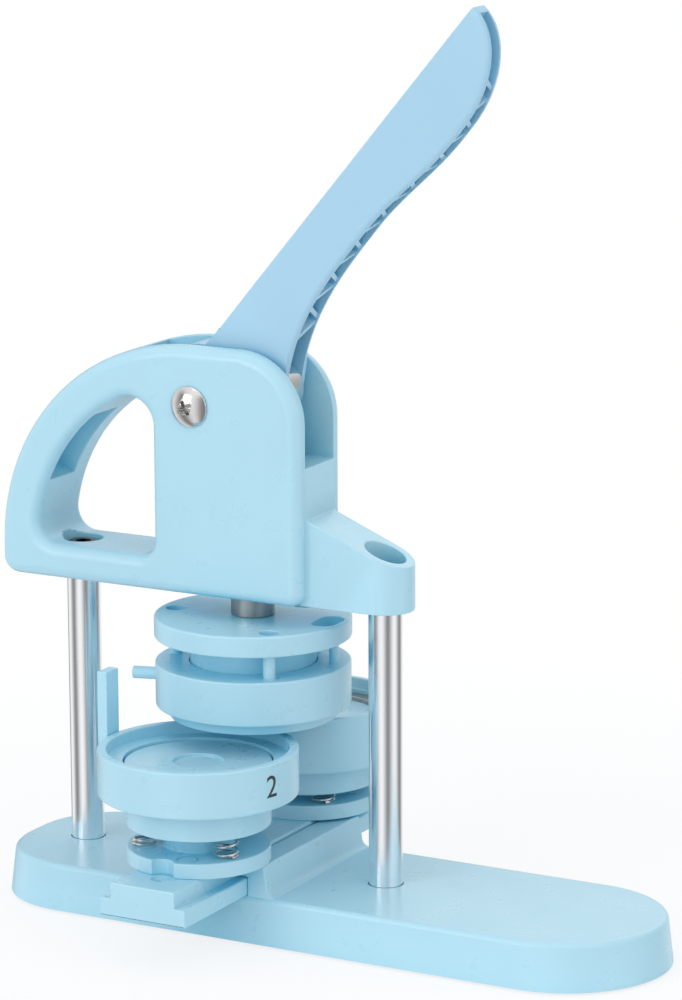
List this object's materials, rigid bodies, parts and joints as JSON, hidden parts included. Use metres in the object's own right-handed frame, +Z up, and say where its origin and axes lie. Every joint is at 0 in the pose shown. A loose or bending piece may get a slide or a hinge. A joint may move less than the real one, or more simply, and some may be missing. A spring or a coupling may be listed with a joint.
{
  "type": "button badge press",
  "caption": "Hand lever press for round button badges: D-grip head on two chromed columns, turning collar die over a slide bar with two spring-loaded lower dies.",
  "frame": {"origin": "middle of the whole press's box, on the plane of the rubber feet", "axes": "+Z up along the columns, +X from the hand grip to the long end of the base, +Y to the rear along the slide bar"},
  "size_m": [0.2872, 0.1758, 0.3668],
  "materials": {
    "blue_plastic": "semi-gloss pale sky blue moulding",
    "handle_plastic": "semi-gloss pale blue moulding",
    "chrome": "polished chrome",
    "steel": "bright steel",
    "dark_steel": "blackened steel",
    "brass": "plain turned bronze",
    "rubber": "matt black rubber"
  },
  "bodies": {
    "root": {"base": "blue_plastic", "base_feet": "rubber", "column_left": "chrome", "column_right": "chrome", "base_bolts": "dark_steel", "base_washers": "steel", "head": "blue_plastic", "head_bolts": "dark_steel", "head_washers": "steel", "plunger_bush": "brass", "pivot_screw": "steel", "pivot_nut": "steel", "pivot_sleeve": "steel", "return_spring": "steel"},
    "lever": {"handle": "handle_plastic", "roller_pin": "steel"},
    "roller": {"roller": "chrome"},
    "press": {"plunger": "steel", "plunger_cap": "dark_steel", "retaining_ring": "dark_steel", "upper_plate": "blue_plastic", "upper_piston": "blue_plastic", "upper_screw": "dark_steel"},
    "collar": {"collar": "blue_plastic", "collar_pin": "blue_plastic"},
    "slide": {"slide_bar": "blue_plastic", "die_screws": "dark_steel", "front_die_base": "blue_plastic", "front_platen": "blue_plastic", "front_springs": "steel", "rear_die_base": "blue_plastic", "rear_platen": "blue_plastic", "rear_insert": "steel", "rear_springs": "steel"},
    "ring_front": {"front_ring": "blue_plastic"},
    "ring_rear": {"rear_ring": "blue_plastic"}
  },
  "joints": [
    {"name": "handle_swing", "type": "hinge", "parent": "root", "child": "lever", "pos_m": [-0.0539, -0.0006, 0.2073], "axis": [0, 1, 0], "range_deg": [0, 50], "stiffness_Nm_per_rad": 0.4, "springref_deg": -22.92},
    {"name": "roller_spin", "type": "hinge", "parent": "lever", "child": "roller", "pos_m": [-0.0252, -0.0006, 0.2143], "axis": [0, 1, 0], "continuous": true},
    {"name": "plunger_travel", "type": "slide", "parent": "root", "child": "press", "axis": [0, 0, -1], "range_m": [0, 0.0078], "deforming": ["return_spring"]},
    {"name": "collar_turn", "type": "hinge", "parent": "press", "child": "collar", "pos_m": [-0.0364, -0.0006, 0.095], "axis": [0, 0, 1], "range_deg": [-31, 31]},
    {"name": "die_slide", "type": "slide", "parent": "root", "child": "slide", "axis": [0, 1, 0], "range_m": [-0.045, 0.0438]},
    {"name": "front_ring_press", "type": "slide", "parent": "slide", "child": "ring_front", "axis": [0, 0, -1], "range_m": [0, 0.0056], "deforming": ["front_springs"]},
    {"name": "rear_ring_press", "type": "slide", "parent": "slide", "child": "ring_rear", "axis": [0, 0, -1], "range_m": [0, 0.0043], "deforming": ["rear_springs"]}
  ],
  "couplings": [
    {"joint": "plunger_travel", "follows": "handle_swing", "m_per_rad": 0.00893},
    {"joint": "collar_turn", "follows": "die_slide", "rad_per_m": -11.95},
    {"joint": "front_ring_press", "follows": "handle_swing", "m_per_rad": 0.0063},
    {"joint": "rear_ring_press", "follows": "handle_swing", "m_per_rad": 0.0049}
  ]
}
